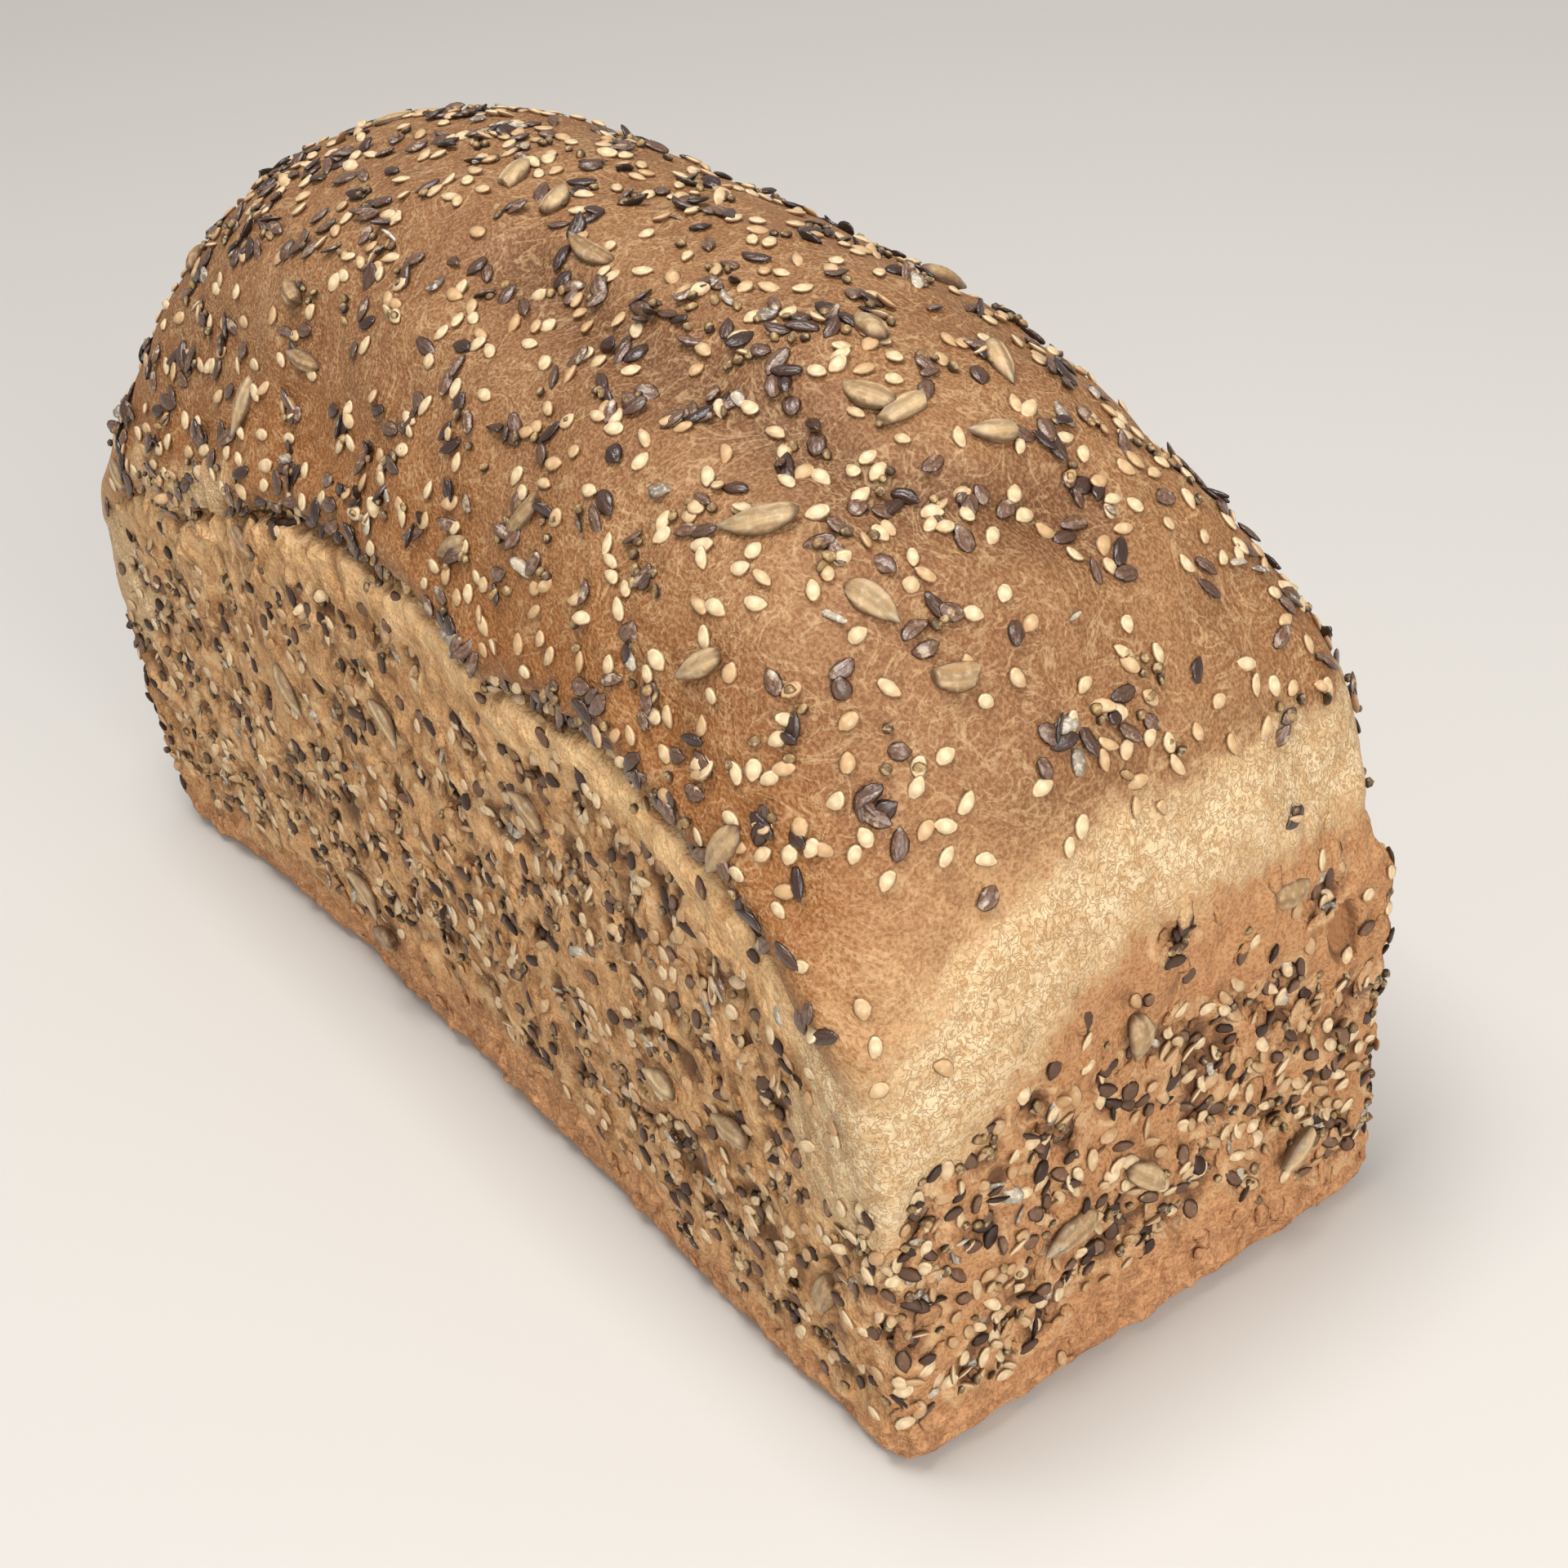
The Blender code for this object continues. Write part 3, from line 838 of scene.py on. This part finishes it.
def lying(faces, lifts, calm_tilt, wall_share_kept, rng):
    """Tilts of seeds: slight when they lie singly, steep in a heap, and less so in the walls."""
    tilts = np.abs(rng.normal(0, 1, len(faces))) * (calm_tilt + 0.38 * (lifts > 0))
    tilts *= 1 - (1 - wall_share_kept) * face_zone["wall"][faces]
    return np.clip(tilts + 0.35 * np.abs(rng.normal(0, 1, len(faces))) * low_end[faces], 0, 0.85)


kernel_rng = np.random.default_rng(21)
seen = np.array([place[:3] for place in KERNELS_SEEN])
seen_faces = np.array([np.argmin(np.linalg.norm(face_calm - place, axis=1)) for place in seen])
flat_part = 1 - step(np.abs(face_calm[:, 0]), 0.108, 0.114) * step(np.abs(face_calm[:, 1]), 0.034, 0.040)
on_dome, on_wall, on_low_end = KERNEL_THICKNESS
more_kernels = flat_part * (on_dome * dome_part + (on_wall + on_low_end * low_end) * wall_part)
more_faces = sow(more_kernels, *KERNEL_ROOM, kernel_rng)
kernel_faces = np.concatenate([seen_faces, more_faces])
kernel_halves = spread(kernel_rng, len(kernel_faces), KERNEL_HALF, KERNEL_VARIETY)
kernel_turns = kernel_rng.uniform(0, np.pi, len(kernel_faces))
kernel_turns[: len(seen)] = np.radians([place[3] for place in KERNELS_SEEN])
kernel_tilts = lying(kernel_faces, np.zeros(len(kernel_faces)), 0.12, 0.5, kernel_rng)
kernel_tilts = np.minimum(kernel_tilts, KERNEL_TILT)
kernel_places = settle(kernel_faces, kernel_halves, 0.0, *KERNEL_SINK, kernel_rng)
kernel_frames = turned_frames(face_normals[kernel_faces], kernel_turns, kernel_tilts, kernel_rng)
snapped = np.arange(len(kernel_faces)) % KERNEL_SNAPPED_EACH == 0
kernel_groups = []
for group, snap in ((~snapped, None), (snapped, KERNEL_SNAP)):
    shape = seed_shape("kernel", 12, 10, 0.25, 0.45, 1.7, snap)
    group_parts = (kernel_places[group], kernel_frames[group], kernel_halves[group])
    kernel_groups.append(strew("sunflower_kernels", shape, *group_parts, kernel_rng, 0.025))
kernels = kernel_groups[0]
bpy.ops.object.select_all(action="DESELECT")
for group in kernel_groups:
    group.select_set(True)
bpy.context.view_layer.objects.active = kernels
bpy.ops.object.join()
bpy.ops.object.shade_smooth_by_angle(angle=math.radians(50))


def kernel_skin():
    look = Look("kernel_skin")
    tone, along, across, height = (look.attribute(name) for name in ("tone", "along", "across", "height"))
    ribs = (across * 8 + look.grain(0.004) * 4).math("SINE")
    dust = look.grain(0.0011, 3)
    stain = look.grain(0.0030, 2)
    colour = look.mix(tone.between(0.0, 0.75), tint(198, 166, 122), tint(164, 128, 86))
    colour = look.mix(tone.between(0.80, 0.95) * 0.7, colour, tint(110, 80, 50))
    colour = look.mix(ribs.between(0.3, 1) * 0.5, colour, tint(118, 86, 56))
    colour = look.mix(stain.between(0.45, 0.7) * 0.5, colour, tint(168, 150, 120))
    colour = look.mix(dust.between(0.45, 0.7) * 0.4, colour, tint(216, 192, 152))
    colour = look.mix(along.between(0.55, 0.95) * 0.8, colour, tint(222, 206, 172))
    colour = look.mix(along.between(-0.75, -1.0) * 0.7, colour, tint(120, 84, 50))
    # Painted shade on the kernel's lower side, where it meets the dough.
    colour = look.mix(height.between(0.62, -0.05) * 0.8, colour, tint(84, 58, 40))
    return look.finish(colour, 0.38 + 0.25 * dust, look.bump(ribs + dust, 0.00022, 0.9))


kernels.data.materials.append(kernel_skin())
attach(kernels, "root")


# Linseed: flat, dark brown and glossy, pointed at one end. It lies on the dome singly and in
# heaps, and thickest in the furrow and along the crease.
LINSEED_HALF = (0.00225, 0.00122, 0.00046)
LINSEED_VARIETY = 0.13
LINSEED_ROOM = (0.0017, 0.62)
LINSEED_SINK = (0.02, 0.41)
linseed_rng = np.random.default_rng(22)
single_linseed = dome_part * (0.40 + 0.38 * step(clump, 0.45, 0.7)) * (1 + 1.3 * face_zone["furrow"])
single_linseed = single_linseed + 5.5 * gutter + wall_part * (0.66 + 0.9 * low_end) * (0.4 + 1.2 * drift)
linseed_faces, linseed_lifts = gathered(sow(single_linseed, *LINSEED_ROOM, linseed_rng), "linseed")
linseed_halves = spread(linseed_rng, len(linseed_faces), LINSEED_HALF, LINSEED_VARIETY)
linseed_halves[:, 0] *= 1 - 0.20 * face_zone["wall"][linseed_faces]
linseed_tilts = lying(linseed_faces, linseed_lifts, 0.20, 0.8, linseed_rng)
linseed_places = settle(linseed_faces, linseed_halves, linseed_lifts, *LINSEED_SINK, linseed_rng)
linseed_turns = linseed_rng.uniform(0, 2 * np.pi, len(linseed_faces))
linseed_frames = turned_frames(face_normals[linseed_faces], linseed_turns, linseed_tilts, linseed_rng)
in_wall = face_zone["wall"][linseed_faces] > 0.5


def linseed_hull():
    look = Look("linseed_hull")
    tone, along, across, height = (look.attribute(name) for name in ("tone", "along", "across", "height"))
    haze_and_sheen = look.grain(0.0009, 2)
    husk = look.grain(0.0021, 3, 0.6)
    wrinkles = (across * 9 + haze_and_sheen * 7).math("SINE")
    colour = look.mix(tone.between(0.0, 0.8), tint(58, 36, 27), tint(112, 79, 58))
    colour = look.mix(wrinkles.between(0.2, 1.0) * 0.45, colour, tint(38, 24, 20))
    # Painted sheen: grey-lit patches on the glossy hull.
    colour = look.mix(haze_and_sheen.between(0.52, 0.64) * tone.between(0.2, 0.9) * 0.55, colour, tint(150, 127, 110))
    colour = look.mix(husk.between(0.56, 0.64) * tone.between(0.5, 0.85) * 0.9, colour, tint(186, 164, 138))
    colour = look.mix(along.between(0.70, 1.0) * 0.5, colour, tint(118, 86, 56))
    # Painted shade under the hull's rim, where it meets the dough.
    colour = look.mix(height.between(0.55, -0.05) * 0.9, colour, tint(24, 14, 11))
    normal = look.bump(wrinkles * 0.3 + haze_and_sheen + husk, 0.00015, 0.8)
    gloss = {"Specular IOR Level": 0.6, "Coat Weight": 0.25, "Coat Roughness": 0.16}
    return look.finish(colour, 0.16 + 0.32 * haze_and_sheen, normal, gloss)


def pressed_hull():
    """Linseed in the walls, dulled by the dough that it baked in, and darkened by painted shade over its
    lower side.
    """
    look = Look("pressed_hull")
    tone = look.attribute("tone")
    haze_and_sheen = look.grain(0.0012, 2)
    height = look.attribute("height")
    colour = look.mix(tone.between(0.0, 0.9), tint(56, 36, 26), tint(116, 84, 62))
    # Painted glints: grey patches on the dull hull.
    colour = look.mix(haze_and_sheen.between(0.50, 0.66) * tone.between(0.3, 0.9) * 0.6, colour, tint(152, 122, 92))
    # Painted shade on the lower side, where the dough closed round it.
    colour = look.mix(height.between(0.70, 0.15) * 0.8, colour, tint(38, 22, 12))
    normal = look.bump(haze_and_sheen, 0.00018, 0.8)
    return look.finish(colour, 0.36 + 0.25 * haze_and_sheen, normal, {"Specular IOR Level": 0.3})


linseed_pieces = (
    ("linseeds", ~in_wall, seed_shape("linseed", 8, 7, 0.35, 0.7, 1.3), linseed_hull()),
    ("pressed_linseeds", in_wall, seed_shape("linseed", 6, 6, 0.40, 0.7, 1.3), pressed_hull()),
)
for name, group, shape, hull in linseed_pieces:
    group_parts = (linseed_places[group], linseed_frames[group], linseed_halves[group])
    linseeds = strew(name, shape, *group_parts, linseed_rng, 0.05)
    linseeds.data.materials.append(hull)
    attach(linseeds, "root")


# Sesame: small flat cream drops, some toasted gold, strewn singly over the dome and crowded in
# the walls, most of all low on the end.
SESAME_HALF = (0.00168, 0.00120, 0.00050)
SESAME_VARIETY = 0.10
SESAME_ROOM = (0.0014, 0.66)
SESAME_SINK = (0.14, 0.42)
sesame_rng = np.random.default_rng(23)
single_sesame = dome_part * 1.75 * (0.7 + 0.6 * clump) + 3.0 * gutter
single_sesame = single_sesame + wall_part * (1.35 + 4.2 * low_end) * (0.4 + 1.2 * drift)
sesame_faces, sesame_lifts = gathered(sow(single_sesame, *SESAME_ROOM, sesame_rng), "sesame")
sesame_halves = spread(sesame_rng, len(sesame_faces), SESAME_HALF, SESAME_VARIETY)
sesame_tilts = lying(sesame_faces, sesame_lifts, 0.20, 0.9, sesame_rng)
sesame = strew(
    "sesame",
    seed_shape("sesame", 6, 6, 0.45, 0.75, 1.4),
    settle(sesame_faces, sesame_halves, sesame_lifts, *SESAME_SINK, sesame_rng),
    turned_frames(
        face_normals[sesame_faces],
        sesame_rng.uniform(0, 2 * np.pi, len(sesame_faces)),
        sesame_tilts,
        sesame_rng,
    ),
    sesame_halves,
    sesame_rng,
    0.03,
)
sesame_corners = len(sesame.data.vertices) // len(sesame_faces)
mark(sesame, "pressed", np.repeat(face_zone["wall"][sesame_faces], sesame_corners))


def sesame_hull():
    look = Look("sesame_hull")
    tone, along, height = (look.attribute(name) for name in ("tone", "along", "height"))
    grain = look.grain(0.0009, 2)
    ring = height.between(0.50, 0.64) * height.between(0.86, 0.72)
    colour = look.mix(tone.between(0.35, 1.0), tint(222, 198, 158), tint(194, 157, 112))
    colour = look.mix(look.attribute("pressed") * tone.between(0.2, 0.8) * 0.55, colour, tint(176, 136, 92))
    colour = look.mix(along.between(0.45, 1.0) * 0.45, colour, tint(184, 138, 88))
    colour = look.mix(grain.between(0.5, 0.75) * 0.35, colour, tint(238, 220, 184))
    colour = look.mix(ring * 0.4, colour, tint(176, 128, 80))
    # Painted shade on the seed's lower side, where it meets the dough.
    colour = look.mix(height.between(0.42, -0.10) * 0.85, colour, tint(118, 76, 42))
    return look.finish(colour, 0.40 + 0.15 * grain, look.bump(grain, 0.00008, 0.5))


sesame.data.materials.append(sesame_hull())
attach(sesame, "root")


# Small round grains, olive to brown, that came with the linseed and gather where it lies thick.
# They are whole, and a little wrinkled by the heat.
GRAIN_HALF = (0.00088, 0.00080, 0.00068)
GRAIN_VARIETY = 0.16
GRAIN_ROOM = (0.0009, 0.85)
GRAIN_SINK = (0.16, 0.42)
grain_rng = np.random.default_rng(24)
single_grain = dome_part * 0.30 * step(clump, 0.50, 0.70) + 2.5 * gutter
single_grain = single_grain + wall_part * (0.4 + 5.0 * low_end) * drift
grain_faces, grain_lifts = gathered(sow(single_grain, *GRAIN_ROOM, grain_rng), "grain")
grain_halves = spread(grain_rng, len(grain_faces), GRAIN_HALF, GRAIN_VARIETY)
grains = strew(
    "round_grains",
    seed_shape("grain", 6, 5, 0.7, 0.7, 0.9),
    settle(grain_faces, grain_halves, grain_lifts, *GRAIN_SINK, grain_rng),
    turned_frames(
        face_normals[grain_faces],
        grain_rng.uniform(0, 2 * np.pi, len(grain_faces)),
        grain_rng.uniform(0, 0.7, len(grain_faces)),
        grain_rng,
    ),
    grain_halves,
    grain_rng,
    0.07,
)


def grain_hull():
    look = Look("grain_hull")
    tone = look.attribute("tone")
    height = look.attribute("height")
    fleck = look.grain(0.0008, 2)
    colour = look.mix(tone, tint(156, 122, 76), tint(74, 52, 34))
    colour = look.mix(fleck.between(0.5, 0.62) * 0.7, colour, tint(196, 168, 120))
    # Painted shade on the grain's lower side, where it meets the dough.
    colour = look.mix(height.between(0.50, -0.10) * 0.9, colour, tint(38, 24, 16))
    return look.finish(colour, 0.34 + 0.25 * fleck, look.bump(fleck, 0.00015, 0.7))


grains.data.materials.append(grain_hull())
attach(grains, "root")


# Broken flakes of hull and kernel: thin, pale grey to white. They came in the seed mix, and lie
# at all angles on the dough.
FLAKE_HALF = (0.0018, 0.0010, 0.00030)
FLAKE_VARIETY = 0.30
FLAKE_ROOM = (0.0013, 0.8)
FLAKE_SINK = (-0.3, 0.45)
flake_rng = np.random.default_rng(25)
single_flake = 0.07 * dome_part * (0.5 + clump) + (0.09 + 0.7 * low_end) * wall_part + 0.3 * gutter
flake_faces, flake_lifts = gathered(sow(single_flake, *FLAKE_ROOM, flake_rng), "flake")
flake_halves = spread(flake_rng, len(flake_faces), FLAKE_HALF, FLAKE_VARIETY)
flakes = strew(
    "broken_flakes",
    seed_shape("flake", 5, 5, 0.5, 1.0, 0.9),
    settle(flake_faces, flake_halves, flake_lifts, *FLAKE_SINK, flake_rng),
    turned_frames(
        face_normals[flake_faces],
        flake_rng.uniform(0, 2 * np.pi, len(flake_faces)),
        flake_rng.uniform(0, 0.7, len(flake_faces)),
        flake_rng,
    ),
    flake_halves,
    flake_rng,
    0.18,
)


def flake_skin():
    look = Look("flake_skin")
    tone = look.attribute("tone")
    height = look.attribute("height")
    fibre = look.grain(0.0008, 3)
    colour = look.mix(tone, tint(190, 176, 152), tint(112, 96, 82))
    colour = look.mix(fibre.between(0.48, 0.62) * 0.6, colour, tint(224, 216, 202))
    # Painted shade on the flake's lower side.
    colour = look.mix(height.between(0.2, -0.4) * 0.7, colour, tint(74, 54, 40))
    return look.finish(colour, 0.38, look.bump(fibre, 0.00022, 0.8))


flakes.data.materials.append(flake_skin())
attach(flakes, "root")


# Crags of dough on the walls, where it stuck to the tin and tore as the loaf came out. They are
# of the crust's own dough, drawn out upright, and close over the edges of the pressed seeds.
CRAG_HALF = (0.0023, 0.0013, 0.00055)
CRAG_VARIETY = 0.28
crag_rng = np.random.default_rng(26)
crag_part = face_zone["wall"] * step(face_calm[:, 2], 0.002, 0.006) * (1 - 0.75 * face_zone["pale"])
crag_part *= 1 - step(face_zone["pit"], 0.0, 0.1)
crag_part *= 1 - 0.8 * face_zone["lip"] * (1 - face_zone["torn"])
hollow_rim = step(face_zone["hollow"], 0.10, 0.35) * (1 - step(face_zone["hollow"], 0.55, 0.85))
crag_density = crag_part * (1.3 + 5.5 * hollow_rim + 1.5 * face_zone["foot"])
crag_density = crag_density + crag_part * 4.0 * face_zone["torn"] * step(under_rim, -0.03, 0.0)
crag_chances = crag_density * face_areas
crag_count = int(crag_chances.sum())
crag_faces = crag_rng.choice(len(crag_chances), crag_count, p=crag_chances / crag_chances.sum())
crag_halves = spread(crag_rng, crag_count, CRAG_HALF, CRAG_VARIETY)
upright = np.pi / 2
crag_turns = upright + crag_rng.normal(0, 0.45, crag_count)
crag_lifts = crag_halves[:, 2] * crag_rng.uniform(-0.80, 0.0, crag_count)
crags = strew(
    "dough_crags",
    seed_shape("crag", 6, 5, 0.8, 0.8, 1.0),
    face_places[crag_faces] + face_normals[crag_faces] * crag_lifts[:, None],
    turned_frames(face_normals[crag_faces], crag_turns, crag_rng.uniform(0, 0.35, crag_count), crag_rng),
    crag_halves,
    crag_rng,
    0.16,
)
crag_corners = len(crags.data.vertices) // crag_count
for name in DOUGH_MARKS:
    mark(crags, name, np.repeat(face_zone[name][crag_faces], crag_corners))
crags.data.materials.append(dough_look)
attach(crags, "root")


# The plain pale floor, the soft light of a bright room from above, and the camera, which stands
# where the loaf's own outline puts it.
bpy.ops.object.select_all(action="DESELECT")
bpy.ops.mesh.primitive_plane_add(size=6, location=(0, 0, 0))
floor = bpy.context.object
floor.name = "floor"
pale_floor = Look("pale_floor")
floor.data.materials.append(pale_floor.finish(tint(206, 202, 196), 0.7))

world = bpy.data.worlds.new("room")
world.use_nodes = True
world.node_tree.nodes["Background"].inputs["Color"].default_value = (1.0, 0.985, 0.96, 1)
world.node_tree.nodes["Background"].inputs["Strength"].default_value = 0.38
bpy.context.scene.world = world
bpy.context.scene.view_settings.view_transform = "Standard"


def lamp(name, place, size, watts):
    """A soft square light that faces the loaf."""
    light = bpy.data.lights.new(name, "AREA")
    light.size = size
    light.energy = watts
    holder = bpy.data.objects.new(name, light)
    holder.location = place
    holder.rotation_euler = (Vector((0, 0, 0.07)) - Vector(place)).to_track_quat("-Z", "Y").to_euler()
    bpy.context.scene.collection.objects.link(holder)


lamp("window", (0.00, -0.20, 1.28), 0.6, 12.9)
lamp("room_bounce", (1.15, -0.30, 0.62), 1.0, 14.3)

CAMERA_PLACE = (0.35435, -0.21103, 0.31661)
CAMERA_RIGHT = (0.59341, 0.80032, -0.08575)
CAMERA_UP = (-0.40605, 0.38965, 0.82662)
CAMERA_LENS = 63.07
camera_data = bpy.data.cameras.new("camera")
camera_data.lens = CAMERA_LENS
camera_data.sensor_width = 36
camera_data.clip_start = 0.01
camera = bpy.data.objects.new("camera", camera_data)
camera_back = Vector(CAMERA_RIGHT).cross(Vector(CAMERA_UP))
camera_axes = Matrix((CAMERA_RIGHT, CAMERA_UP, camera_back)).transposed()
camera.matrix_world = Matrix.Translation(CAMERA_PLACE) @ camera_axes.to_4x4()
bpy.context.scene.collection.objects.link(camera)
bpy.context.scene.camera = camera
